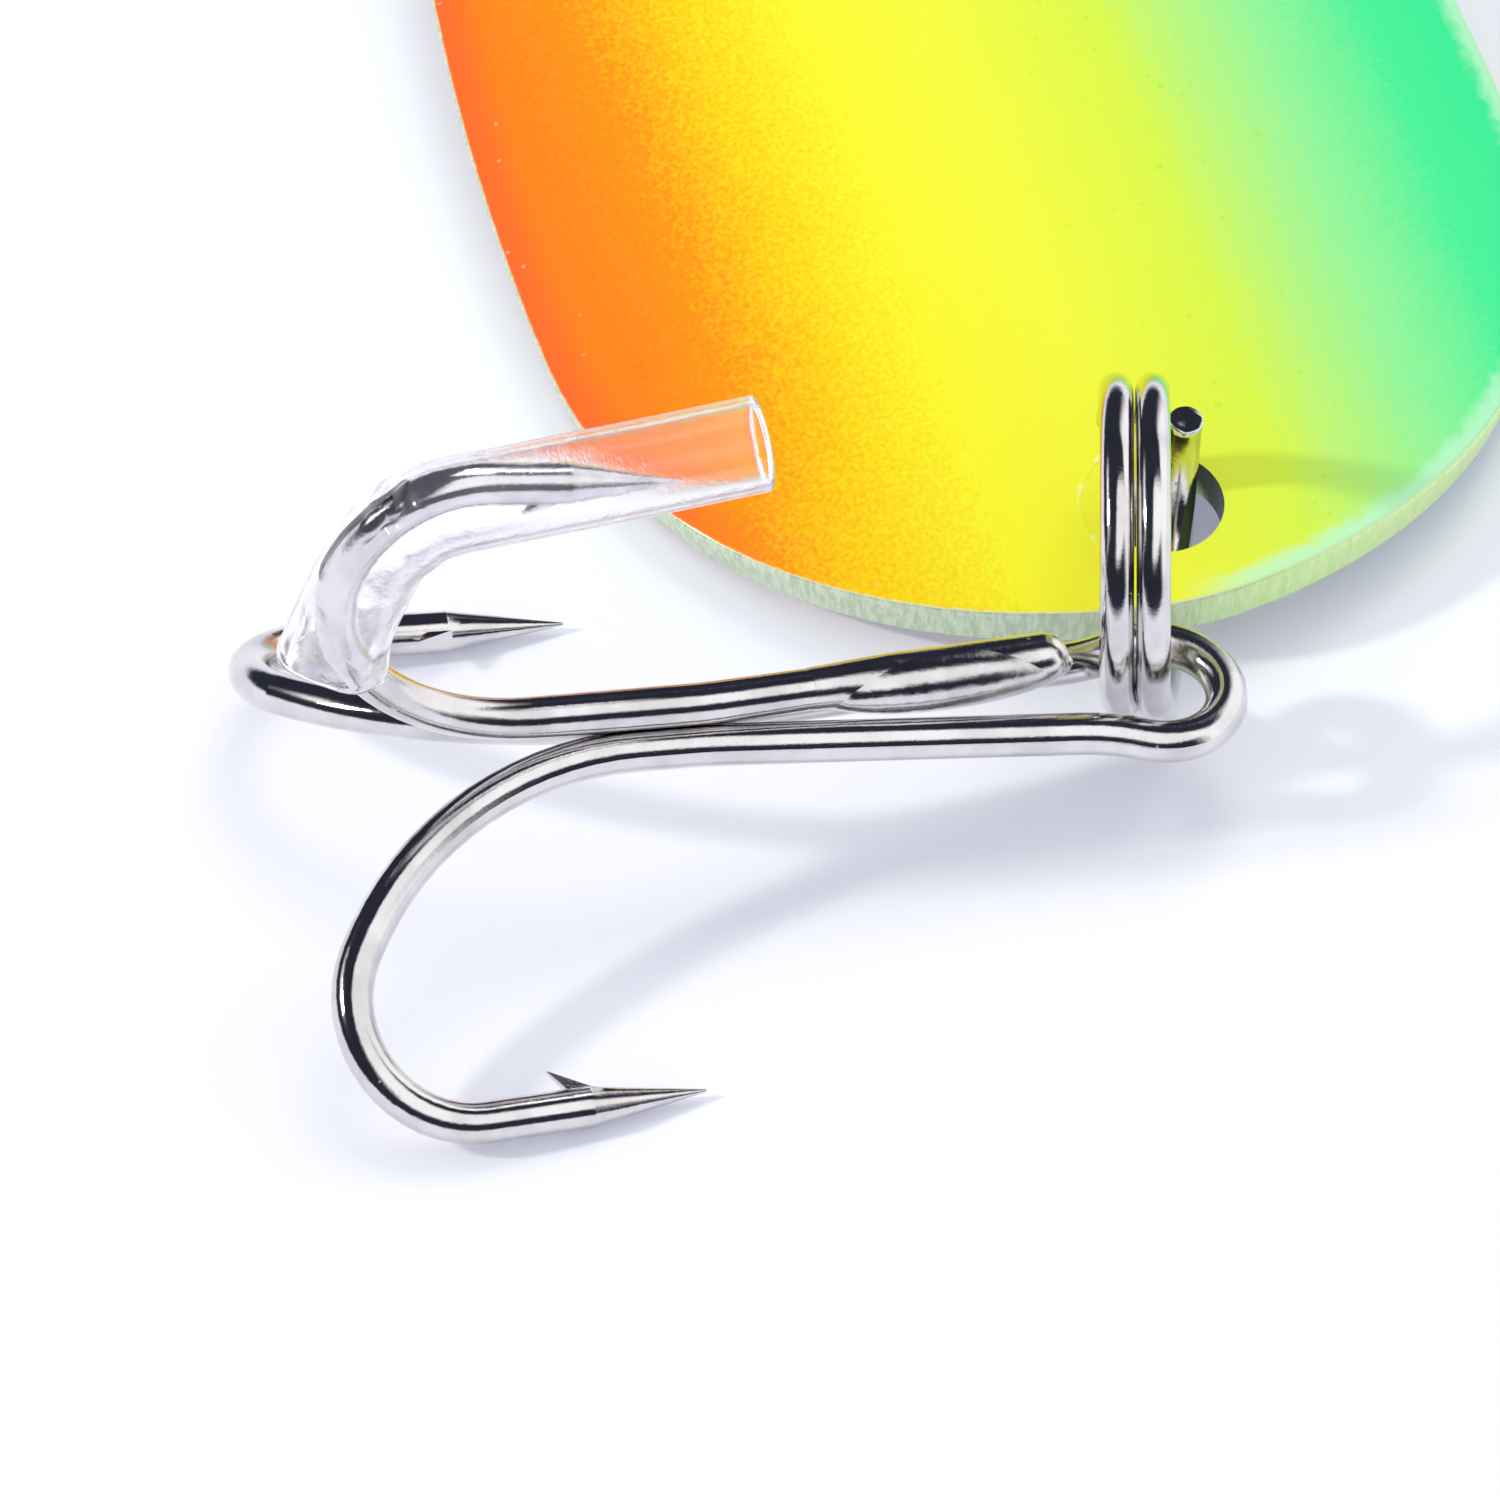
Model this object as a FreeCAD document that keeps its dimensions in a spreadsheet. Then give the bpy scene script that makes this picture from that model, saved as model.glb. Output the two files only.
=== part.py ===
import FreeCAD, Part

import math
import os

import Sketcher
from FreeCAD import Placement, Rotation, Vector

# Spoon lure lying on a table, painted side up.
# Design frame: X runs along the blade from its tail tip towards its nose, Y is to the left, Z is up
# from the table. Lengths are in millimetres and angles in degrees. Each sub-part is then shifted so
# that the origin lies on the table under the middle of the whole lure.
DIMENSIONS = {
    # middle of the whole lure, measured from the tail tip
    "middle_along": (20.683, "tail tip to the middle of the lure"),
    "middle_aside": (4.831, "blade axis to the middle of the lure"),
    # blade
    "blade_long": (50.0, "tail tip to nose tip"),
    "blade_half_width": (10.40, "half of the widest section"),
    "widest_at": (11.62, "tail tip to the crest of the side curves"),
    "tail_radius": (6.5, "radius of the tail tip"),
    "shoulder_radius": (11.08, "radius of the curves between the tail tip and the sides"),
    "side_radius": (60.0, "radius of the side curves"),
    "nose_radius": (4.0, "radius of the nose"),
    "blade_thick": (1.0, "thickness of the blade"),
    "dome_radius": (29.0, "radius of the painted face across the blade"),
    "camber_radius": (160.0, "radius of the painted face along the blade"),
    "crown_at": (22.1, "tail tip to the highest point of the blade"),
    "crown_height": (3.42, "table to the highest point of the blade"),
    "rim_round": (0.12, "rounding of the rim edges"),
    "hole_radius": (1.25, "radius of both holes"),
    "tail_hole_at": (2.49, "tail tip to the centre of the tail hole"),
    "nose_hole_at": (46.9, "tail tip to the centre of the line-tie hole"),
    # split ring
    "ring_radius": (3.14, "radius of the middle line of the ring wire"),
    "ring_wire": (0.70, "diameter of the ring wire"),
    "ring_pitch": (0.73, "distance between neighbouring turns"),
    "ring_along": (0.35, "tail tip to the centre of the ring"),
    "ring_aside": (1.303, "blade axis to the centre of the ring"),
    "ring_height": (3.493, "table to the centre of the ring"),
    "ring_yaw": (-17.61, "turn of the ring's plane from the blade axis"),
    # treble hook
    "hook_wire": (0.85, "diameter of the hook wire"),
    "eye_radius": (1.38, "radius of the middle line of the eye"),
    "eye_at": (0.95, "centre of the eye along the shank"),
    "neck_radius": (4.0, "radius of the bends where the eye opens from its two legs"),
    "neck_turn": (23.0, "how far the wire goes round the eye past its widest place"),
    "leg_lean": (4.0, "lean of each leg of the eye towards the shank"),
    "leg_radius": (12.0, "radius of the bends where the legs meet"),
    "flare_at": (11.8, "where the shanks of the double hook start to lean outwards"),
    "single_flare_at": (14.0, "where the third hook's shank starts to lean outwards"),
    "single_start": (3.3, "where the third hook's shank starts"),
    "needle_long": (2.4, "length of a hook's tapered point"),
    "needle_tip": (0.03, "radius at the very tip"),
    "barb_back": (2.0, "distance from tip to the front of the barb"),
    "barb_long": (1.15, "length of the barb"),
    "barb_rise": (0.42, "rise of the barb above the wire"),
    "barb_thick": (0.34, "thickness of the barb"),
    "braze_skin": (0.085, "braze thickness over the third hook's shank"),
    "braze_coat": (3.2, "length of shank under the even coat of braze"),
    "braze_fade": (1.7, "length over which the coat thins out"),
    "braze_pool_at": (5.4, "middle of the pool of braze between the shanks"),
    "braze_pool_long": (5.4, "length of the pool"),
    "braze_pool_thick": (1.26, "thickness of the pool"),
    "treble_along": (-2.755, "tail tip to the start of the treble's axis"),
    "treble_aside": (0.797, "blade axis to the start of the treble's axis"),
    "treble_height": (2.594, "table to the start of the treble's axis"),
    "treble_yaw": (85.19, "turn of the treble from the blade axis"),
    "treble_lift": (6.85, "slope of the shank up towards the bends"),
    # point guard
    "guard_outer": (1.0, "outer radius of the guard tube"),
    "guard_inner": (0.80, "inner radius of the guard tube"),
}

doc = FreeCAD.newDocument("spoon_lure")
sheet = doc.addObject("Spreadsheet::Sheet", "sizes")
for row, (alias, (value, meaning)) in enumerate(DIMENSIONS.items(), start=1):
    sheet.set("A%d" % row, alias)
    sheet.set("B%d" % row, str(value))
    sheet.set("C%d" % row, meaning)
    sheet.setAlias("B%d" % row, alias)
doc.recompute()


def size(alias):
    """One driving dimension, read back from the sheet."""
    return float(sheet.get(alias))


def bind(thing, **expressions):
    """Tie properties of an object to cells of the sheet; <name> stands for the cell's alias."""
    for prop, text in expressions.items():
        thing.setExpression(prop, text.replace("<", "sizes.").replace(">", ""))
    return thing


def add(kind, name, **expressions):
    """A new document object with its sizes bound to the sheet."""
    return bind(doc.addObject(kind, name), **expressions)


# ---------------------------------------------------------------- bent wire

def bend_steps(point, heading, side, steps):
    """Edges of a wire bent in steps, and where it ends.

    ("run", length) goes straight on, ("bend", radius, angle) turns towards side, or away from it when
    the angle is negative, and ("aim", direction) chooses the side for the bends that follow."""
    edges = []
    for step in steps:
        if step[0] == "aim":
            side = step[1]
        elif step[0] == "run":
            end = point + heading * step[1]
            edges.append(Part.LineSegment(point, end).toShape())
            point = end
        else:
            radius, angle = step[1:]
            sense = math.copysign(1.0, angle)
            axis = heading.cross(side)
            centre = point + side * (sense * radius)
            half = Rotation(axis, angle / 2.0).multVec(side)
            heading = Rotation(axis, angle).multVec(heading)
            side = Rotation(axis, angle).multVec(side)
            middle = centre - half * (sense * radius)
            end = centre - side * (sense * radius)
            edges.append(Part.Arc(point, middle, end).toShape())
            point = end
    return edges, point, heading, side


def tangent_arcs(points):
    """Arcs that touch each run of a polygon, one round each of its corners, with short ends."""
    reach = points[0].distanceToPoint(points[1]) / 2.0
    start = (points[0] + points[1]) * 0.5
    edges = []
    for before, corner, after in zip(points, points[1:], points[2:]):
        into = (corner - before).normalize()
        out = (after - corner).normalize()
        end = corner + out * reach
        half_turn = into.getAngle(out) / 2.0
        radius = reach / math.tan(half_turn)
        inward = (out - into).normalize()
        middle = corner + inward * (radius / math.cos(half_turn) - radius)
        edges.append(Part.Arc(start, middle, end).toShape())
        start = end
        reach = corner.distanceToPoint(after) - reach
    return edges


def sweep(name, edges, radius_text):
    """A round wire along connected, tangent edges; its radius is bound to the sheet."""
    path = doc.addObject("Part::Feature", name + "_path")
    path.Shape = Part.Wire(edges)
    first = path.Shape.OrderedEdges[0]
    start = first.valueAt(first.FirstParameter)
    heading = first.tangentAt(first.FirstParameter)
    section = add("Part::Circle", name + "_section", Radius=radius_text)
    section.Placement = Placement(start, Rotation(Vector(0, 0, 1), heading))
    wire = doc.addObject("Part::Sweep", name + "_wire")
    wire.Sections = [section]
    wire.Spine = (path, [])
    wire.Solid = True
    wire.Frenet = False
    doc.recompute()
    wanted = math.pi * section.Radius.Value ** 2 * path.Shape.Length
    if abs(wire.Shape.Volume / wanted - 1.0) > 0.01:
        raise RuntimeError("%s: swept volume %.3f, expected %.3f" % (name, wire.Shape.Volume, wanted))
    return wire


# ---------------------------------------------------------------- blade

def blade_outline():
    """Sketch of the blade seen from above: tail tip, shoulders, long side curves, taper and nose."""
    half, widest, side = size("blade_half_width"), size("widest_at"), size("side_radius")
    tail, shoulder = size("tail_radius"), size("shoulder_radius")
    nose, long = size("nose_radius"), size("blade_long")
    drop = side - half
    tail_centre = Vector(tail, 0, 0)
    side_centre = Vector(widest, -drop, 0)
    nose_centre = Vector(long - nose, 0, 0)
    # the shoulder circle lies inside the side circle and round the tail circle, and touches both
    base = tail_centre - side_centre
    to_side, to_tail = side - shoulder, shoulder - tail
    along = (to_side ** 2 - to_tail ** 2 + base.Length ** 2) / (2.0 * base.Length)
    across = Vector(base.y, -base.x, 0).normalize() * math.sqrt(to_side ** 2 - along ** 2)
    shoulder_centre = side_centre + base.normalize() * along + across
    tail_end = tail_centre + (tail_centre - shoulder_centre).normalize() * tail
    shoulder_end = side_centre + (shoulder_centre - side_centre).normalize() * side
    # outer common tangent of the side circle and the nose circle
    apart = nose_centre - side_centre
    turn = math.atan2(apart.y, apart.x) + math.acos((side - nose) / apart.Length)
    out = Vector(math.cos(turn), math.sin(turn), 0)
    side_end = side_centre + out * side
    nose_start = nose_centre + out * nose

    def arc(start, end, centre, radius):
        middle = centre + ((start + end) * 0.5 - centre).normalize() * radius
        return Part.Arc(start, middle, end)

    def mirror(v):
        return Vector(v.x, -v.y, v.z)

    sketch = doc.addObject("Sketcher::SketchObject", "blade_outline")
    shapes = [
        Part.Arc(mirror(tail_end), Vector(0, 0, 0), tail_end),
        arc(tail_end, shoulder_end, shoulder_centre, shoulder),
        arc(shoulder_end, side_end, side_centre, side),
        Part.LineSegment(side_end, nose_start),
        Part.Arc(nose_start, Vector(long, 0, 0), mirror(nose_start)),
        Part.LineSegment(mirror(nose_start), mirror(side_end)),
        arc(mirror(side_end), mirror(shoulder_end), mirror(side_centre), side),
        arc(mirror(shoulder_end), mirror(tail_end), mirror(shoulder_centre), shoulder),
    ]
    sketch.addGeometry(shapes, False)
    joints = [tail_end, shoulder_end, side_end, nose_start]
    joints += [mirror(point) for point in reversed(joints)]
    for number, point in enumerate(joints):
        ends = []
        for index in (number, (number + 1) % len(shapes)):
            at_start = sketch.getPoint(index, 1).isEqual(point, 1e-6)
            ends += [index, 1 if at_start else 2]
        sketch.addConstraint(Sketcher.Constraint("Tangent", *ends))
    tail_arc, left_shoulder, left_arc, nose_arc, right_arc, right_shoulder = 0, 1, 2, 4, 6, 7
    centre, axis, origin = 3, -1, (-1, 1)
    for index in (tail_arc, nose_arc):
        sketch.addConstraint(Sketcher.Constraint("PointOnObject", index, centre, axis))
    sketch.addConstraint(Sketcher.Constraint("PointOnObject", *origin, tail_arc))
    driven = [
        (("Radius", tail_arc, tail), "<tail_radius>"),
        (("Radius", left_shoulder, shoulder), "<shoulder_radius>"),
        (("Radius", right_shoulder, shoulder), "<shoulder_radius>"),
        (("Radius", left_arc, side), "<side_radius>"),
        (("Radius", right_arc, side), "<side_radius>"),
        (("Radius", nose_arc, nose), "<nose_radius>"),
        (("DistanceX", *origin, left_arc, centre, widest), "<widest_at>"),
        (("DistanceX", *origin, right_arc, centre, widest), "<widest_at>"),
        (("DistanceY", left_arc, centre, *origin, drop), "<side_radius> - <blade_half_width>"),
        (("DistanceX", *origin, nose_arc, centre, long - nose), "<blade_long> - <nose_radius>"),
    ]
    for constraint, text in driven:
        made = sketch.addConstraint(Sketcher.Constraint(*constraint))
        bind(sketch, **{"Constraints[%d]" % made: text})
    return sketch


def blade():
    """Blade stamped from sheet: a doubly curved skin with walls square to it, and two holes."""
    outline = blade_outline()
    prism = add("Part::Extrusion", "blade_prism", LengthFwd="<blade_thick> * 12")
    prism.Base = outline
    prism.DirMode = "Custom"
    prism.Dir = Vector(0, 0, 1)
    prism.Solid = True
    dome = add("Part::Torus", "blade_dome", Radius1="<camber_radius> - <dome_radius>",
               Radius2="<dome_radius>")
    centre = Vector(size("crown_at"), 0, size("crown_height") - size("camber_radius"))
    dome.Placement = Placement(centre, Rotation(Vector(1, 0, 0), 90))
    doc.recompute()

    skin = doc.addObject("Part::Feature", "blade_skin")
    skin.Shape = dome.Shape.Faces[0].common(prism.Shape)
    thick = add("Part::Offset", "blade_plate", Value="-<blade_thick>")
    thick.Source = skin
    thick.Fill = True
    doc.recompute()

    drills = []
    for name in ("tail_hole", "nose_hole"):
        drill = add("Part::Cylinder", name, Radius="<hole_radius>", Height="<blade_thick> * 6")
        along = size(name + "_at") - size("crown_at")
        slope = math.asin(along / size("camber_radius"))
        out = Vector(math.sin(slope), 0, math.cos(slope))
        drill.Placement = Placement(centre + out * (size("camber_radius") - 3.5 * size("blade_thick")),
                                    Rotation(Vector(0, 0, 1), out))
        drills.append(drill)
    drilled = doc.addObject("Part::MultiFuse", "blade_drills")
    drilled.Shapes = drills
    cut = doc.addObject("Part::Cut", "blade_drilled")
    cut.Base = thick
    cut.Tool = drilled
    doc.recompute()

    # the rim edges lie between a curved face and a wall that runs round the outline
    rim = []
    for number, edge in enumerate(cut.Shape.Edges, start=1):
        kinds = {face.Surface.TypeId for face in cut.Shape.ancestorsOfType(edge, Part.Face)}
        if kinds == {"Part::GeomToroid", "Part::GeomBSplineSurface"}:
            rim.append((number, size("rim_round"), size("rim_round")))
    rounded = doc.addObject("Part::Fillet", "blade_rounded")
    rounded.Base = cut
    rounded.Edges = rim
    doc.recompute()
    return rounded


# ---------------------------------------------------------------- rear split ring

def rear_split_ring():
    """Two turns of round wire; each turn steps sideways by one wire while it passes below."""
    radius, pitch = size("ring_radius"), size("ring_pitch")
    first, turns, step = 7.0, 2, 15.0
    flat_end, shift_span = 195.0, 180.0
    corner_radius = radius / math.cos(math.radians(step / 2.0))

    def aside(angle):
        """Sideways place of the wire: level over the top and the near side, shifting below."""
        whole, rest = divmod(angle - flat_end, 360.0)
        moved = whole + min(rest / shift_span, 1.0)
        return pitch * (0.5 - moved)

    corners = []
    for i in range(int(turns * 360.0 / step) + 2):
        angle = first + (i - 0.5) * step
        corners.append(Vector(corner_radius * math.cos(math.radians(angle)), aside(angle),
                              corner_radius * math.sin(math.radians(angle))))
    ring = sweep("ring", tangent_arcs(corners), "<ring_wire> / 2")
    ring.Placement = Placement(
        Vector(size("ring_along"), size("ring_aside"), size("ring_height")),
        Rotation(Vector(0, 0, 1), size("ring_yaw")))
    return ring


# ---------------------------------------------------------------- treble hook
# Treble frame: X along the shank from the eye towards the bends, Z up in the third hook's plane.

SHANK = Vector(1, 0, 0)


def radial(angle):
    """Direction square to the shank, turned from straight up."""
    return Vector(0, math.sin(math.radians(angle)), math.cos(math.radians(angle)))


def shank_offset():
    """Distance from the treble's axis to each wire, with the three wires just clear of each other."""
    return (size("hook_wire") + 0.01) / math.sqrt(3.0)


def leg_geometry():
    """Lean of the eye's legs, the length of their straight part and where along the shank they meet."""
    eye, neck, meet = size("eye_radius"), size("neck_radius"), size("leg_radius")
    lean, turn = math.radians(size("leg_lean")), math.radians(size("neck_turn"))
    half_gap = shank_offset() * math.sin(math.radians(120.0))
    after_neck = eye * math.cos(turn) - neck * (math.cos(lean) - math.cos(turn))
    straight = (after_neck - half_gap - meet * (1.0 - math.cos(lean))) / math.sin(lean)
    end = size("eye_at") + eye * math.sin(turn) + neck * (math.sin(turn) - math.sin(lean))
    end += straight * math.cos(lean) + meet * math.sin(lean)
    return lean, straight, end


def hook_steps(shank_run, bends, arm):
    """Straight shank, the bends of one hook as pairs of radius and angle, and its straight point arm."""
    return [("run", shank_run)] + [("bend", radius, angle) for radius, angle in bends] + [("run", arm)]


def hook_point(name, tip_start, heading, side):
    """Tapered point with a small barb on the side that faces the shank."""
    turn = Rotation(Vector(0, 0, 1), heading)
    needle = add("Part::Cone", name + "_needle", Radius1="<hook_wire> / 2", Radius2="<needle_tip>",
                 Height="<needle_long>")
    needle.Placement = Placement(tip_start, turn)
    # barb: a thin wedge whose sharp end stands off the wire and points back along the hook
    back = size("needle_long") - size("barb_back")
    wire = size("hook_wire") / 2.0
    front = tip_start + heading * back + side * (wire * (1.0 - back / size("needle_long")) * 0.6)
    root = tip_start - heading * (size("barb_long") * 0.25) + side * (wire * 0.5)
    peak = tip_start + heading * (back - size("barb_long")) + side * (wire + size("barb_rise"))
    across = heading.cross(side) * (size("barb_thick") / 2.0)
    face = Part.Face(Part.makePolygon([front - across, peak - across * 0.3, root - across, front - across]))
    other = Part.Face(Part.makePolygon([front + across, peak + across * 0.3, root + across, front + across]))
    barb = doc.addObject("Part::Feature", name + "_barb")
    barb.Shape = Part.makeLoft([face.OuterWire, other.OuterWire], True, True)
    return [needle, barb]


def join(name, pieces):
    """Fuse the pieces of one sub-part into one solid."""
    joined = doc.addObject("Part::MultiFuse", name)
    joined.Shapes = pieces
    joined.Refine = False
    doc.recompute()
    return joined


def place_on_treble(thing):
    """Move a sub-part from the treble frame to where the treble lies."""
    yaw = Rotation(Vector(0, 0, 1), size("treble_yaw"))
    lift = Rotation(Vector(0, 1, 0), -size("treble_lift"))
    thing.Placement = Placement(
        Vector(size("treble_along"), size("treble_aside"), size("treble_height")), yaw.multiply(lift))
    return thing


def double_hook():
    """One wire bent into the eye, two shanks and two round hooks."""
    level = shank_offset() * math.cos(math.radians(120.0))
    lean, straight, legs_end = leg_geometry()
    turn, lean = size("neck_turn"), math.degrees(lean)
    steps = [
        ("bend", size("eye_radius"), 90.0 + turn),
        ("bend", size("neck_radius"), lean - turn),
        ("run", straight),
        ("bend", size("leg_radius"), -lean),
        ("aim", radial(120.0)),
    ]
    steps += hook_steps(size("flare_at") - legs_end, [(7.0, 62.0), (2.5, 73.0), (2.2, 48.4)], 2.12)
    start = Vector(size("eye_at") - size("eye_radius"), 0, level)
    half, end, heading, side = bend_steps(start, Vector(0, 1, 0), SHANK, steps)
    mirror = lambda v: Vector(v.x, -v.y, v.z)
    other = [edge.mirror(Vector(0, 0, 0), Vector(0, 1, 0)) for edge in half]
    wire = sweep("double_hook", list(reversed(other)) + half, "<hook_wire> / 2")
    pieces = [wire]
    pieces += hook_point("left_hook", end, heading, side)
    pieces += hook_point("right_hook", mirror(end), mirror(heading), mirror(side))
    return place_on_treble(join("double_hook", pieces))


def single_start():
    """Rounded end of the third hook's shank and its heading: it lies on the right leg of the eye."""
    lean, _, legs_end = leg_geometry()
    bend = size("leg_radius")
    straight = (legs_end - size("single_start") - bend * math.sin(lean)) / math.cos(lean)
    aside = straight * math.sin(lean) + bend * (1.0 - math.cos(lean))
    start = Vector(size("single_start"), -aside, shank_offset())
    return start, Vector(math.cos(lean), math.sin(lean), 0), straight


def single_hook():
    """The third hook: its own wire, laid on the other two, with a rounded end at the eye."""
    start, heading, straight = single_start()
    lean, _, legs_end = leg_geometry()
    steps = [("run", straight), ("bend", size("leg_radius"), math.degrees(lean)), ("aim", radial(0.0))]
    bends = [(4.6, 50.0), (3.55, 40.0), (3.15, 45.0), (2.3, 50.7)]
    steps += hook_steps(size("single_flare_at") - legs_end, bends, 1.59)
    edges, end, heading, side = bend_steps(start, heading, Vector(heading.y, -heading.x, 0), steps)
    wire = sweep("single_hook", edges, "<hook_wire> / 2")
    knob = add("Part::Sphere", "single_hook_end", Radius="<hook_wire> / 2")
    knob.Placement.Base = start
    pieces = [wire, knob] + hook_point("upper_hook", end, heading, side)
    return place_on_treble(join("single_hook", pieces))


def hook_braze(wires):
    """Braze metal: an even coat over the end of the third shank and a pool between the three shanks."""
    start, heading, _ = single_start()
    along = Rotation(Vector(0, 0, 1), heading)
    end = add("Part::Sphere", "braze_end", Radius="<hook_wire> / 2 + <braze_skin>")
    end.Placement = Placement(start, along)
    coat = add("Part::Cylinder", "braze_coat", Radius="<hook_wire> / 2 + <braze_skin>", Height="<braze_coat>")
    coat.Placement = Placement(start, along)
    fade = add("Part::Cone", "braze_fade", Radius1="<hook_wire> / 2 + <braze_skin>",
               Radius2="<hook_wire> / 2 + 0.01", Height="<braze_fade>")
    fade.Placement = Placement(start + heading * size("braze_coat"), along)
    pool = add("Part::Ellipsoid", "braze_pool", Radius1="<braze_pool_long> / 2",
               Radius2="<braze_pool_thick> / 2", Radius3="<braze_pool_thick> / 2")
    middle = start + heading * (size("braze_pool_at") - size("single_start"))
    pool.Placement = Placement(middle + Vector(0, 0.12, -0.09), along)
    metal = doc.addObject("Part::Cut", "hook_braze")
    metal.Base = join("braze_block", [end, coat, fade, pool])
    metal.Tool = join("braze_wires", wires)
    doc.recompute()
    return place_on_treble(metal)


def point_guard():
    """Soft clear tube pushed over the third hook's point and round into its bend."""
    route = [(10.09, 7.87), (11.75, 7.62), (13.42, 7.38), (15.08, 7.17), (16.62, 7.00), (17.74, 5.95),
             (18.05, 4.45), (18.20, 2.95)]
    points = [Vector(along, 0, up) for along, up in route]
    edges = tangent_arcs(points)
    first = Part.LineSegment(points[0], edges[0].valueAt(edges[0].FirstParameter)).toShape()
    last = Part.LineSegment(edges[-1].valueAt(edges[-1].LastParameter), points[-1]).toShape()
    path = [first] + edges + [last]
    outer = sweep("guard_outer", path, "<guard_outer>")
    inner = sweep("guard_inner", path, "<guard_inner>")
    tube = doc.addObject("Part::Cut", "point_guard")
    tube.Base = outer
    tube.Tool = inner
    doc.recompute()
    return place_on_treble(tube)


# ---------------------------------------------------------------- the lure

def build():
    """Every sub-part, by the name of its file."""
    parts = {
        "blade": blade(),
        "rear_split_ring": rear_split_ring(),
        "double_hook": double_hook(),
        "single_hook": single_hook(),
        "point_guard": point_guard(),
    }
    names = ("double_hook_wire", "single_hook_wire", "single_hook_end")
    parts["hook_braze"] = hook_braze([doc.getObject(name) for name in names])
    middle = Vector(size("middle_along"), size("middle_aside"), 0)
    for name, thing in parts.items():
        thing.Label = name
        thing.Placement = Placement(thing.Placement.Base - middle, thing.Placement.Rotation)
    doc.recompute()
    return parts


def check(parts):
    """Stop if any object failed, or any sub-part is not one valid solid."""
    for thing in doc.Objects:
        if "Invalid" in thing.State or "Error" in thing.State:
            raise RuntimeError("%s did not recompute: %s" % (thing.Name, thing.State))
    for name, thing in parts.items():
        shape = thing.Shape
        if shape.isNull() or not shape.isValid() or len(shape.Solids) != 1:
            raise RuntimeError("%s is not one valid solid" % name)
        print("%-16s %9.3f mm3 %4d faces" % (name, shape.Volume, len(shape.Faces)))


parts = build()
check(parts)
os.makedirs("parts", exist_ok=True)
for name, thing in parts.items():
    thing.Shape.Solids[0].exportStep("parts/%s.step" % name)
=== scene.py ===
import math

import bpy
from mathutils import Matrix, Vector, noise


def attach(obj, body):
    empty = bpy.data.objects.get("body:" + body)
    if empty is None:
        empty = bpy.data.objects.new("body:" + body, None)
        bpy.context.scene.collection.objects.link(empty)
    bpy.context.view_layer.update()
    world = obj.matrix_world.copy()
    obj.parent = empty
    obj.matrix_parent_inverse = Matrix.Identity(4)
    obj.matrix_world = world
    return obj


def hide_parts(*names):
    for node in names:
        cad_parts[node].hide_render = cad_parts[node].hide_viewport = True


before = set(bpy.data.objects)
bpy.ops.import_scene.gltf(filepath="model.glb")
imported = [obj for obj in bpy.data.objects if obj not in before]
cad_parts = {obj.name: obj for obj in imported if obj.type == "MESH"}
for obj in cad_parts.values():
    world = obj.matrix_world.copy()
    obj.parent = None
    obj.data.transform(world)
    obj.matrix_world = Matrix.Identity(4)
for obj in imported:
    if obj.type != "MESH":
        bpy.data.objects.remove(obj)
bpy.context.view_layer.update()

MM = 0.001

# ---------------------------------------------------------------- places, in millimetres

# the blade's tail tip is the start of its axis, which runs along +X
TAIL_TIP = Vector((-20.683, -4.831, 0.0))
BLADE_LONG = 50.0
HALF_WIDTH = 10.40
WIDEST_AT = 11.62
TAIL_RADIUS = 6.5
SHOULDER_RADIUS = 11.08
SIDE_RADIUS = 60.0
NOSE_RADIUS = 4.0
TAIL_HOLE_AT = 2.49
HOLE_RADIUS = 1.25

# the treble's own frame: along the shank, to its left, and up in the plane of the guarded hook
TREBLE_START = TAIL_TIP + Vector((-2.755, 0.797, 2.594))
TREBLE_YAW = math.radians(85.19)
TREBLE_LIFT = math.radians(6.85)

# the split ring: two turns of wire in an upright plane
RING_CENTRE = TAIL_TIP + Vector((0.35, 1.303, 3.493))
RING_YAW = math.radians(-17.61)
RING_RADIUS = 3.14
RING_WIRE = 0.70
RING_PITCH = 0.73
RING_FIRST = 7.0
RING_TURNS = 2
# each turn of the ring steps sideways between these two angles, while it passes below
RING_SHIFT = 195.0
RING_SHIFT_SPAN = 180.0

# the treble's eye, the ring and the guarded hook fill the camera's frame
CAMERA_AIM = TAIL_TIP + Vector((-0.244, 9.549, 0.806))
CAMERA_AZIMUTH = math.radians(252.39)
CAMERA_ELEVATION = math.radians(47.0)
FIELD_WIDE = 30.0
LENS = 1000.0


# ---------------------------------------------------------------- material tools

def linear(red, green, blue):
    """A display colour from 0 to 255 as the linear colour that shaders use."""
    parts = [value / 255.0 for value in (red, green, blue)]
    return tuple(v / 12.92 if v <= 0.04045 else ((v + 0.055) / 1.055) ** 2.4 for v in parts)


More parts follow.
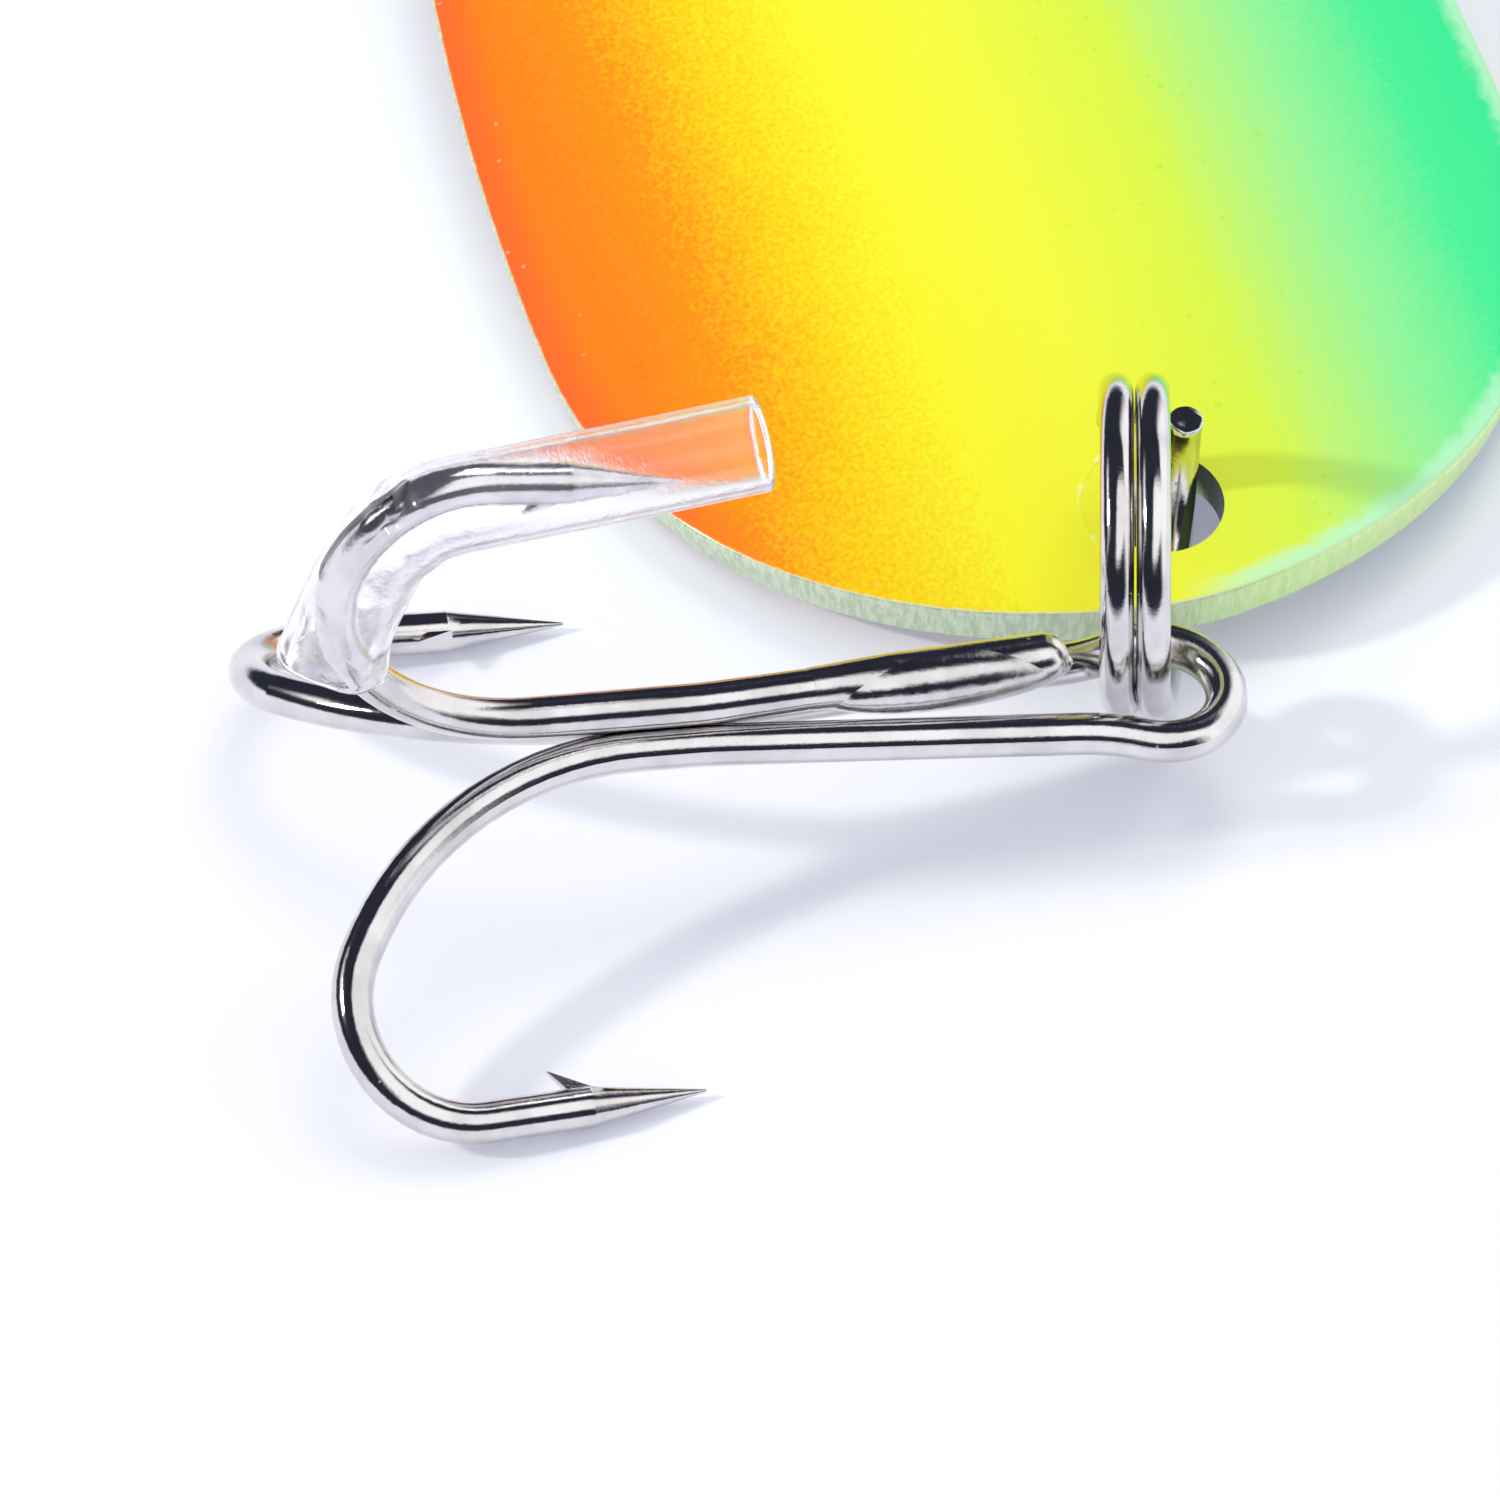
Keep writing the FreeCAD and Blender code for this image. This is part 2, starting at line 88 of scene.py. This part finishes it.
class Field:
    """A number that varies over a surface, worked out by math nodes."""

    def __init__(self, tree, socket):
        self.tree = tree
        self.socket = socket

    def join(self, operation, *others):
        """One math node on this number and the others."""
        node = self.tree.nodes.new("ShaderNodeMath")
        node.operation = operation
        for place, value in enumerate((self,) + others):
            connect(self.tree, node.inputs[place], value)
        return Field(self.tree, node.outputs[0])

    def __add__(self, other):
        return self.join("ADD", other)

    def __sub__(self, other):
        return self.join("SUBTRACT", other)

    def __mul__(self, other):
        return self.join("MULTIPLY", other)

    def length(self, other):
        """Length of a plan vector with these two parts."""
        return (self * self + other * other).join("SQRT")

    def most(self, other):
        """The larger of the two numbers."""
        return self.join("MAXIMUM", other)

    def rise(self, low, high, bottom=0.0, top=1.0):
        """Smooth step from bottom, at low, to top, at high."""
        node = self.tree.nodes.new("ShaderNodeMapRange")
        node.interpolation_type = "SMOOTHSTEP"
        node.inputs["From Min"].default_value = low
        node.inputs["From Max"].default_value = high
        node.inputs["To Min"].default_value = bottom
        node.inputs["To Max"].default_value = top
        connect(self.tree, node.inputs["Value"], self)
        return Field(self.tree, node.outputs["Result"])


def connect(tree, target, value):
    """Give a socket a constant, or link it to a field or another socket."""
    if isinstance(value, Field):
        tree.links.new(value.socket, target)
    elif isinstance(value, bpy.types.NodeSocket):
        tree.links.new(value, target)
    else:
        target.default_value = value


def new_material(name, **values):
    """A material with one principled shader, and constant values on its sockets."""
    material = bpy.data.materials.new(name)
    material.use_nodes = True
    shader = material.node_tree.nodes["Principled BSDF"]
    for key, value in values.items():
        shader.inputs[key.replace("_", " ")].default_value = value
    return material, material.node_tree, shader


def coordinates(tree):
    """Position in the lure's frame in millimetres: the vector, then its three fields."""
    place = tree.nodes.new("ShaderNodeTexCoord")
    scale = tree.nodes.new("ShaderNodeVectorMath")
    scale.operation = "SCALE"
    scale.inputs["Scale"].default_value = 1.0 / MM
    tree.links.new(place.outputs["Object"], scale.inputs[0])
    return scale.outputs[0], split(tree, scale.outputs[0])


def split(tree, vector):
    """The three parts of a vector or a colour, as fields."""
    parts = tree.nodes.new("ShaderNodeSeparateXYZ")
    tree.links.new(vector, parts.inputs[0])
    return [Field(tree, socket) for socket in parts.outputs]


def grain(tree, vector, size, detail=2.0, stretch=None, roughness=0.5):
    """Noise from 0 to 1 with features of the given size in millimetres."""
    if stretch:
        mapping = tree.nodes.new("ShaderNodeMapping")
        mapping.inputs["Scale"].default_value = stretch
        tree.links.new(vector, mapping.inputs["Vector"])
        vector = mapping.outputs[0]
    node = tree.nodes.new("ShaderNodeTexNoise")
    node.inputs["Scale"].default_value = 1.0 / size
    node.inputs["Detail"].default_value = detail
    node.inputs["Roughness"].default_value = roughness
    tree.links.new(vector, node.inputs["Vector"])
    return Field(tree, node.outputs[0])


def droplets(tree, vector, spacing, radius, share):
    """Small round dots, one in each cell of the given spacing, in only a share of the cells."""
    node = tree.nodes.new("ShaderNodeTexVoronoi")
    node.inputs["Scale"].default_value = 1.0 / spacing
    tree.links.new(vector, node.inputs["Vector"])
    luck = split(tree, node.outputs["Color"])[0]
    away = Field(tree, node.outputs["Distance"]) * spacing
    return away.rise(radius * 0.5, radius, 1.0, 0.0) * luck.rise(1.0 - share, 1.0 - share + 0.02)


def blend_colours(tree, amount, under, over):
    """Under where amount is 0, over where it is 1."""
    node = tree.nodes.new("ShaderNodeMix")
    node.data_type = "RGBA"
    connect(tree, node.inputs[0], amount)
    for socket, colour in ((node.inputs[6], under), (node.inputs[7], over)):
        connect(tree, socket, colour if isinstance(colour, bpy.types.NodeSocket) else (*colour, 1.0))
    return node.outputs[2]


def colour_ramp(tree, amount, low, high, stops):
    """Colours along a field that runs from low to high."""
    node = tree.nodes.new("ShaderNodeValToRGB")
    ramp = node.color_ramp
    while len(ramp.elements) < len(stops):
        ramp.elements.new(0.5)
    for element, (place, colour) in zip(ramp.elements, stops):
        element.position = (place - low) / (high - low)
        element.color = (*linear(*colour), 1.0)
    spread = tree.nodes.new("ShaderNodeMapRange")
    spread.inputs["From Min"].default_value = low
    spread.inputs["From Max"].default_value = high
    connect(tree, spread.inputs["Value"], amount)
    tree.links.new(spread.outputs["Result"], node.inputs[0])
    return node.outputs["Color"]


def bump(tree, shader, height, depth):
    """Relief of the given depth in millimetres."""
    node = tree.nodes.new("ShaderNodeBump")
    node.inputs["Distance"].default_value = depth * MM
    connect(tree, node.inputs["Height"], height)
    tree.links.new(node.outputs[0], shader.inputs["Normal"])


# ---------------------------------------------------------------- materials

def shoulder_centre():
    """Centre of the curve that joins the tail tip to the blade's left side."""
    side_centre = Vector((WIDEST_AT, HALF_WIDTH - SIDE_RADIUS))
    base = Vector((TAIL_RADIUS, 0.0)) - side_centre
    to_side = SIDE_RADIUS - SHOULDER_RADIUS
    to_tail = SHOULDER_RADIUS - TAIL_RADIUS
    along = (to_side ** 2 - to_tail ** 2 + base.length_squared) / (2.0 * base.length)
    across = math.sqrt(to_side ** 2 - along ** 2)
    return side_centre + base.normalized() * along + Vector((base.y, -base.x)).normalized() * across


def edge_distance(along, across):
    """Distance in from the blade's outline, in millimetres, for a point of its plan view."""
    side = across.join("ABSOLUTE")

    def inside(centre_along, centre_side, radius):
        return (along - centre_along).length(side - centre_side) * -1.0 + radius

    def switch(amount, first, second):
        return first * (amount * -1.0 + 1.0) + second * amount

    shoulder = shoulder_centre()
    lean = (Vector((TAIL_RADIUS, 0.0)) - shoulder).normalized()
    past_tail = ((along - TAIL_RADIUS) * lean.y - side * lean.x).rise(-0.05, 0.05)
    past_shoulder = along.rise(shoulder.x - 0.1, shoulder.x + 0.1)
    drop = SIDE_RADIUS - HALF_WIDTH
    nose_at = BLADE_LONG - NOSE_RADIUS
    reach = math.hypot(nose_at - WIDEST_AT, drop)
    slope = math.atan2(drop, nose_at - WIDEST_AT) + math.acos((SIDE_RADIUS - NOSE_RADIUS) / reach)
    taper = ((along - nose_at) * -math.cos(slope) - side * math.sin(slope)) + NOSE_RADIUS
    touch = WIDEST_AT + SIDE_RADIUS * math.cos(slope)
    flank = switch(along.rise(touch - 0.1, touch + 0.1), inside(WIDEST_AT, -drop, SIDE_RADIUS), taper)
    fore = switch(along.rise(nose_at - 0.2, nose_at), flank, inside(nose_at, 0.0, NOSE_RADIUS))
    aft = switch(past_tail, inside(TAIL_RADIUS, 0.0, TAIL_RADIUS), inside(*shoulder, SHOULDER_RADIUS))
    return switch(past_shoulder, aft, fore)


def blade_material():
    """Airbrushed bands under clear gloss on top, oversprayed metal on the rim and bare metal below."""
    material, tree, shader = new_material(
        "painted_blade", Coat_Weight=0.35, Coat_Roughness=0.08, Specular_IOR_Level=0.2)
    place, (x, y, _) = coordinates(tree)
    along = x - TAIL_TIP.x
    across = y - TAIL_TIP.y
    geometry = tree.nodes.new("ShaderNodeNewGeometry")
    facing_up = split(tree, geometry.outputs["Normal"])[2]
    inset = edge_distance(along, across)
    to_hole = (along - TAIL_HOLE_AT).length(across)

    # the airbrush laid soft bands along the blade, with a fine grain where one fades into the next
    fine = grain(tree, place, 0.11, detail=3.0) - 0.5
    soft = grain(tree, place, 1.6) - 0.5
    band = across + fine * across.rise(-4.0, 3.0, 1.5, 3.2) + soft * 0.5
    band = band - along.rise(1.0, 9.0, 1.3, 0.0) * across.rise(4.0, 8.0)
    paint = colour_ramp(tree, band, -11.0, 11.0, [
        (-10.5, (24, 244, 146)),
        (-8.2, (62, 248, 152)),
        (-5.8, (150, 250, 152)),
        (-3.9, (194, 250, 116)),
        (-2.6, (222, 250, 70)),
        (0.6, (246, 250, 58)),
        (3.4, (250, 244, 38)),
        (5.4, (249, 208, 2)),
        (7.2, (248, 148, 0)),
        (9.0, (246, 128, 14)),
    ])
    # stray droplets thrown into the pale green
    thrown = droplets(tree, place, 0.30, 0.055, 0.30).most(droplets(tree, place, 0.52, 0.10, 0.14))
    thrown = thrown * across.rise(-8.5, -4.0) * across.rise(-1.5, 1.0, 1.0, 0.0)
    paint = blend_colours(tree, thrown * 0.5, paint, linear(176, 244, 24))
    # the orange pass is redder at its edge, and a few pale specks sit in it
    red_edge = inset.rise(0.15, 1.1, 1.0, 0.0) * across.rise(2.0, 7.0) * along.rise(2.0, 9.0)
    paint = blend_colours(tree, red_edge * 0.75, paint, linear(246, 98, 40))
    specks = droplets(tree, place, 0.45, 0.06, 0.35) * inset.rise(0.3, 1.6, 1.0, 0.0) * across.rise(3.0, 8.0)
    paint = blend_colours(tree, specks * 0.6, paint, linear(255, 190, 150))
    # on the green side a pale band is painted just inside the edge: a painted highlight of the rounded rim
    patches = grain(tree, place, 0.35, detail=3.0)
    green_edge_highlight = (inset + (patches - 0.5) * 0.5).rise(0.2, 0.6, 1.0, 0.0) * across.rise(-1.5, 0.5, 1.0, 0.0)
    paint = blend_colours(tree, green_edge_highlight * 0.8, paint, linear(196, 255, 206))
    # a broken pale crescent on the hole's left side is a painted highlight on the slope round the hole; the
    # same mask gives that lip its relief in the bump
    hole_lip_and_highlight = (to_hole - (HOLE_RADIUS + 0.41)).join("ABSOLUTE").rise(0.02, 0.08, 1.0, 0.0)
    hole_lip_and_highlight = hole_lip_and_highlight * across.rise(0.5, 0.8)
    broken = grain(tree, place, 0.5, detail=1.0).rise(0.5, 0.62)
    paint = blend_colours(tree, hole_lip_and_highlight * broken * 0.5, paint, linear(252, 255, 225))
    # a pale line all round the paint's edge: a painted highlight of the rim
    rim_highlight_line = (inset + fine * 0.05).rise(0.05, 0.10, 1.0, 0.0)
    paint = blend_colours(tree, rim_highlight_line * 0.8, paint, linear(226, 236, 196))

    # bare rim wall, dulled by green overspray in short streaks
    streaks = grain(tree, place, 0.12, detail=4.0, stretch=(1.0, 1.0, 0.12), roughness=0.65)
    left = across.rise(-3.0, 3.0)
    wall_pale = blend_colours(tree, left, linear(232, 255, 184), linear(216, 232, 202))
    wall_dark = blend_colours(tree, left, linear(212, 252, 158), linear(190, 208, 176))
    wall = blend_colours(tree, streaks.rise(0.38, 0.62), wall_dark, wall_pale)
    # the wall inside the tail hole is painted dark green: painted shade inside the hole
    hole_shade = to_hole.rise(HOLE_RADIUS + 0.03, HOLE_RADIUS + 0.09, 1.0, 0.0)
    wall = blend_colours(tree, hole_shade, wall, linear(66, 88, 48))

    # nickel underside with a breath of overspray near the rim
    mist = inset.rise(0.0, 2.6, 0.75, 0.0) * grain(tree, place, 0.3, detail=4.0).rise(0.3, 0.7)
    under = blend_colours(tree, mist, linear(206, 204, 200), paint)

    on_top = facing_up.rise(0.62, 0.72)
    below = facing_up.rise(-0.72, -0.62, 1.0, 0.0)
    colour = blend_colours(tree, on_top, wall, paint)
    colour = blend_colours(tree, below, colour, under)
    tree.links.new(colour, shader.inputs["Base Color"])
    bare = below * (mist * -0.8 + 1.0)
    metal = bare.most((on_top * -1.0 + 1.0) * (below * -1.0 + 1.0) * 0.35)
    connect(tree, shader.inputs["Metallic"], metal)
    worn = grain(tree, place, 0.9, detail=5.0, roughness=0.7)
    connect(tree, shader.inputs["Roughness"], worn.rise(0.2, 0.8, 0.30, 0.46) - bare * 0.14)
    orange_peel = grain(tree, place, 0.55, detail=2.0) + streaks * (on_top * -1.0 + 1.0) * 2.0
    bump(tree, shader, orange_peel + patches * hole_lip_and_highlight, 0.012)
    return material


def nickel(name, tone, dull, pits):
    """Bright nickel plate with fine pits, drawing marks and slightly uneven gloss."""
    material, tree, shader = new_material(name, Metallic=1.0)
    place, _ = coordinates(tree)
    cloud = grain(tree, place, 1.1, detail=4.0)
    fine = grain(tree, place, 0.05, detail=3.0, roughness=0.7)
    stained = blend_colours(tree, cloud.rise(0.35, 0.75), linear(*tone), linear(*[0.9 * v for v in tone]))
    nicks = droplets(tree, place, 0.5, 0.035, 0.25)
    plate = blend_colours(tree, nicks * 0.5, stained, linear(250, 250, 250))
    tree.links.new(plate, shader.inputs["Base Color"])
    connect(tree, shader.inputs["Roughness"], cloud.rise(0.2, 0.8, dull, dull + 0.05) + nicks * 0.2)
    bump(tree, shader, fine + nicks * 2.0 + grain(tree, place, 0.4) * 2.0, pits)
    return material


def clear_tube():
    """Soft clear plastic, whiter where it is seen edge on, with fine drawing lines and scuffs."""
    # the faint emission is painted light: a pale glow over the tube and what is seen through it
    material, tree, shader = new_material(
        "clear_tube", IOR=1.3, Emission_Color=(0.9, 0.9, 1.0, 1.0), Emission_Strength=0.02)
    place, _ = coordinates(tree)
    scuffs = grain(tree, place, 0.35, detail=5.0, roughness=0.7)
    glance = tree.nodes.new("ShaderNodeLayerWeight")
    glance.inputs["Blend"].default_value = 0.4
    edge_on = Field(tree, glance.outputs["Facing"]).rise(0.35, 1.0)
    tree.links.new(
        blend_colours(tree, scuffs, (0.975, 0.975, 0.995), (0.99, 0.985, 1.0)), shader.inputs["Base Color"])
    clear = edge_on * -0.45 + 1.0 - scuffs.rise(0.6, 0.85) * 0.07
    connect(tree, shader.inputs["Transmission Weight"], clear)
    connect(tree, shader.inputs["Roughness"], scuffs.rise(0.5, 0.8, 0.02, 0.16))
    bump(tree, shader, scuffs + grain(tree, place, 0.9), 0.012)
    return material


def floor_material():
    """White acrylic that glows a little, so that shadows on it stay pale and cool."""
    material, tree, shader = new_material(
        "floor_acrylic", Roughness=0.8, Specular_IOR_Level=0.2,
        Emission_Color=(0.17, 0.18, 0.24, 1.0), Emission_Strength=1.0)
    place, _ = coordinates(tree)
    tone = blend_colours(tree, grain(tree, place, 6.0), (0.785, 0.785, 0.79), (0.795, 0.795, 0.80))
    tree.links.new(tone, shader.inputs["Base Color"])
    return material


def give(material, *nodes):
    """Put a material on CAD nodes in place of their plain one."""
    for name in nodes:
        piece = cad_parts[name]
        for slot in piece.material_slots:
            slot.material = material


# ---------------------------------------------------------------- the split ring

def new_mesh(name, vertices, faces, material):
    """A smooth mesh object with one material, in the scene."""
    mesh = bpy.data.meshes.new(name)
    mesh.from_pydata(vertices, [], faces)
    mesh.polygons.foreach_set("use_smooth", [True] * len(mesh.polygons))
    mesh.materials.append(material)
    thing = bpy.data.objects.new(name, mesh)
    bpy.context.scene.collection.objects.link(thing)
    return thing


def bands(count, around, closed=False):
    """Faces between neighbouring loops of points; closed also joins the last loop to the first."""
    faces = []
    for a in range(count if closed else count - 1):
        b = (a + 1) % count
        for k in range(around):
            n = (k + 1) % around
            faces.append((a * around + k, a * around + n, b * around + n, b * around + k))
    return faces


def ring_point(angle):
    """A point of the ring's middle line; the wire steps sideways while it passes below."""
    whole, rest = divmod(angle - RING_SHIFT, 360.0)
    aside = RING_PITCH * (0.5 - whole - min(rest / RING_SHIFT_SPAN, 1.0))
    a = math.radians(angle)
    flat = Vector((RING_RADIUS * math.cos(a), aside, RING_RADIUS * math.sin(a)))
    return RING_CENTRE + Matrix.Rotation(RING_YAW, 3, "Z") @ flat


def smooth_ring():
    """The two turns of ring wire, with slightly uneven sawn ends."""
    around = 32
    half = RING_WIRE / 2.0
    side = Matrix.Rotation(RING_YAW, 3, "Z") @ Vector((0.0, 1.0, 0.0))
    step = 3.0
    stations = [RING_FIRST + step * i for i in range(int(RING_TURNS * 360.0 / step) + 1)]
    # reach of each loop and how far it stands off the end; the sawn face is a little hollow
    saw = [(0.97, 0.015), (0.90, 0.03), (0.55, 0.02), (0.12, 0.0)]
    plan = [(stations[0], reach, -off) for reach, off in reversed(saw)]
    plan += [(angle, 1.0, 0.0) for angle in stations]
    plan += [(stations[-1], reach, off) for reach, off in saw]
    vertices = []
    for angle, reach, off in plan:
        ahead = (ring_point(angle + 0.5) - ring_point(angle - 0.5)).normalized()
        out = side.cross(ahead).normalized()
        flank = ahead.cross(out)
        middle = ring_point(angle) + ahead * off
        for k in range(around):
            turn = 2.0 * math.pi * k / around
            spot = middle + (out * math.cos(turn) + flank * math.sin(turn)) * (half * reach)
            if reach < 1.0:
                spot += ahead * (0.03 * noise.noise(spot * 7.0))
            vertices.append(spot * MM)
    faces = bands(len(plan), around)
    last = len(vertices) - around
    faces += [tuple(reversed(range(around))), tuple(range(last, last + around))]
    material = nickel("ring_nickel", (228, 225, 224), 0.05, 0.0025)
    ring = new_mesh("smooth_split_ring", vertices, faces, material)
    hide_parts("rear_split_ring")
    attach(ring, "split_ring")


# ---------------------------------------------------------------- the soft tube over the hook point

def treble_point(along, aside, up):
    """A point of the treble's own frame, in metres in the lure's frame."""
    turn = Matrix.Rotation(TREBLE_YAW, 3, "Z") @ Matrix.Rotation(-TREBLE_LIFT, 3, "Y")
    return (TREBLE_START + turn @ Vector((along, aside, up))) * MM


def smooth_through(rows, steps):
    """Values on a smooth curve through the rows, with the given number of steps between two rows."""
    padded = [rows[0]] + rows + [rows[-1]]

    def between(p, q, r, s, t):
        """Smooth step from q, at t = 0, to r, at t = 1, with p before them and s after."""
        square = (2 * p - 5 * q + 4 * r - s) * t * t
        cube = (3 * q - p - 3 * r + s) * t ** 3
        return 0.5 * (2 * q + (r - p) * t + square + cube)

    out = []
    for four in zip(padded, padded[1:], padded[2:], padded[3:]):
        for i in range(steps):
            out.append([between(*values, i / steps) for values in zip(*four)])
    return out + [rows[-1]]


def guard_tube():
    """The clear tube: straight over the point, kinked at the bend and crumpled at its lower mouth."""
    wall = 0.17
    around = 56
    steps = 14
    # how many stations the bend's folds and the mouth's crumples reach over
    bend_reach = 9.0
    mouth_reach = 33
    # centre line in the treble's frame, then the tube's reach outwards, inwards and to the sides
    rows = [
        (10.12, 0.02, 7.87, 0.98, 0.98, 0.98),
        (12.60, 0.10, 7.50, 0.98, 0.98, 0.98),
        (15.30, 0.20, 7.16, 0.98, 0.98, 0.98),
        (16.55, 0.14, 6.86, 1.00, 0.98, 0.98),
        (17.20, 0.04, 6.42, 1.04, 0.74, 1.10),
        (17.62, 0.00, 5.80, 1.02, 0.84, 1.08),
        (17.90, 0.00, 4.80, 1.02, 1.02, 0.96),
        (18.12, 0.00, 3.70, 1.04, 1.08, 0.92),
        (18.30, 0.00, 2.66, 1.16, 1.12, 0.94),
    ]
    stations = smooth_through(rows, steps)
    count = len(stations)
    centres = [Vector(station[:3]) for station in stations]
    kink = 4 * steps

    def ring(index, inset, push=0.0):
        """One ring of points, moved in from the outer face by inset and along the tube by push."""
        ahead = centres[min(index + 1, count - 1)] - centres[max(index - 1, 0)]
        ahead.normalize()
        side = Vector((0.0, 1.0, 0.0))
        out = side.cross(ahead).normalized()
        side = ahead.cross(out)
        outward, inward, sideways = stations[index][3:]
        bend = math.exp(-((index - kink) / bend_reach) ** 2)
        mouth = max(0.0, (index - (count - 1 - mouth_reach)) / mouth_reach)
        points = []
        for k in range(around):
            angle = 2.0 * math.pi * k / around
            c, s = math.cos(angle), math.sin(angle)
            reach = (outward if c > 0 else inward) - inset
            spot = centres[index] + out * (c * reach) + side * (s * (sideways - inset))
            # folds: sharp creases inside the bend, looser crumples towards the mouth
            fold = bend * max(0.0, -c) * 0.05 * math.sin(index * 0.45 + 1.5 * abs(s))
            crumple = mouth * 0.14 * noise.noise(Vector((spot.x * 1.3, spot.y * 2.0, spot.z * 1.3)))
            crease = mouth * 0.09 * max(0.0, math.cos(3.0 * angle + 0.6)) ** 3
            radial = (out * c + side * s) * (fold + crumple - crease)
            points.append(treble_point(*(spot + radial + ahead * (push * (1.0 + 0.6 * mouth * c)))))
        return points

    lip = 0.05
    loops = [ring(i, 0.0) for i in range(count)]
    loops.append(ring(count - 1, wall / 2.0, lip))
    loops += [ring(i, wall) for i in reversed(range(count))]
    loops.append(ring(0, wall / 2.0, -lip))
    vertices = [point for loop in loops for point in loop]
    tube = new_mesh("clear_point_tube", vertices, bands(len(loops), around, closed=True), clear_tube())
    # light passes through the clear wall, so it throws no dark shadow
    tube.visible_shadow = False
    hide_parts("point_guard")
    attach(tube, "treble")


# ---------------------------------------------------------------- stage, light and camera

def direction(around, elevation):
    """Unit vector from the lure; around is 0 on the camera's side and 90 on its right-hand side."""
    angle = CAMERA_AZIMUTH + math.radians(around)
    rise = math.radians(elevation)
    return Vector((math.sin(angle) * math.cos(rise), -math.cos(angle) * math.cos(rise), math.sin(rise)))


def floor():
    """The plain table top that the lure lies on."""
    mesh = bpy.data.meshes.new("floor")
    far = 4.0
    mesh.from_pydata([(-far, -far, 0), (far, -far, 0), (far, far, 0), (-far, far, 0)], [], [(0, 1, 2, 3)])
    mesh.materials.append(floor_material())
    plane = bpy.data.objects.new("floor", mesh)
    bpy.context.scene.collection.objects.link(plane)


def softbox(name, around, elevation, distance, size, brightness, tint=(1.0, 1.0, 1.0)):
    """A square light aimed at the lure; brightness is what it adds to a white floor."""
    light = bpy.data.lights.new(name, "AREA")
    light.shape = "SQUARE"
    light.size = size
    light.energy = brightness * (math.pi * distance) ** 2 / math.sin(math.radians(elevation))
    light.color = tint
    lamp = bpy.data.objects.new(name, light)
    lamp.location = direction(around, elevation) * distance
    lamp.rotation_mode = "QUATERNION"
    lamp.rotation_quaternion = lamp.location.to_track_quat("Z", "Y")
    lamp.visible_camera = False
    bpy.context.scene.collection.objects.link(lamp)
    return lamp


def studio():
    """Pale even surroundings; mirrors see a dark room with white panels, as in a product studio."""
    world = bpy.data.worlds.new("studio")
    world.use_nodes = True
    bpy.context.scene.world = world
    tree = world.node_tree
    background = tree.nodes["Background"]
    place = tree.nodes.new("ShaderNodeTexCoord")
    look = place.outputs["Generated"]

    def toward(axis):
        dot = tree.nodes.new("ShaderNodeVectorMath")
        dot.operation = "DOT_PRODUCT"
        dot.inputs[1].default_value = axis
        tree.links.new(look, dot.inputs[0])
        return Field(tree, dot.outputs["Value"])

    around = toward(direction(90.0, 0.0)).join("ARCTAN2", toward(direction(0.0, 0.0))) * math.degrees(1.0)
    rise = toward(Vector((0.0, 0.0, 1.0))).join("ARCSINE") * math.degrees(1.0)

    def panel(start, end, low, high, soft=3.0, fade=12.0):
        """1 inside a range of directions round the lure and of heights, in degrees, 0 outside it."""
        shade = around.rise(start - fade, start + fade) * around.rise(end - fade, end + fade, 1.0, 0.0)
        return shade * rise.rise(low - soft, low + soft) * rise.rise(high - soft, high + soft, 1.0, 0.0)

    front = panel(-8.0, 100.0, 35.0, 85.0)
    right = panel(60.0, 155.0, -5.0, 45.0)
    left = panel(-112.0, -88.0, 24.0, 36.0)
    lit = front.most(right).most(left)
    room = blend_colours(tree, lit, (0.028, 0.031, 0.048), (1.2, 1.2, 1.22))
    rays = tree.nodes.new("ShaderNodeLightPath")
    fill = blend_colours(tree, rays.outputs["Is Glossy Ray"], (0.68, 0.69, 0.74), room)
    seen = blend_colours(tree, rays.outputs["Is Camera Ray"], fill, (0.98, 0.98, 0.99))
    tree.links.new(seen, background.inputs["Color"])
    world.cycles.sampling_method = "NONE"

    top = softbox("top_light", 160.0, 60.0, 1.1, 0.50, 0.17)
    top.visible_glossy = False
    softbox("left_light", -82.0, 33.0, 1.0, 0.08, 0.24, (1.0, 0.985, 0.95))


def camera():
    """Camera at the viewing angle, far off with a long lens, with the same small field."""
    back = direction(0.0, math.degrees(CAMERA_ELEVATION))
    data = bpy.data.cameras.new("camera")
    data.lens = LENS
    data.sensor_width = 36.0
    distance = FIELD_WIDE * LENS / data.sensor_width
    eye = bpy.data.objects.new("camera", data)
    eye.location = (CAMERA_AIM + back * distance) * MM
    eye.rotation_mode = "QUATERNION"
    eye.rotation_quaternion = back.to_track_quat("Z", "Y")
    data.clip_start = 0.01
    data.clip_end = 20.0
    bpy.context.scene.collection.objects.link(eye)
    bpy.context.scene.camera = eye


# ---------------------------------------------------------------- the scene

give(blade_material(), "blade")
give(nickel("hook_nickel", (226, 223, 223), 0.05, 0.0025), "double_hook", "single_hook")
give(nickel("braze", (224, 221, 221), 0.05, 0.004), "hook_braze")
smooth_ring()
guard_tube()
floor()
studio()
camera()
bpy.context.scene.view_settings.view_transform = "Standard"
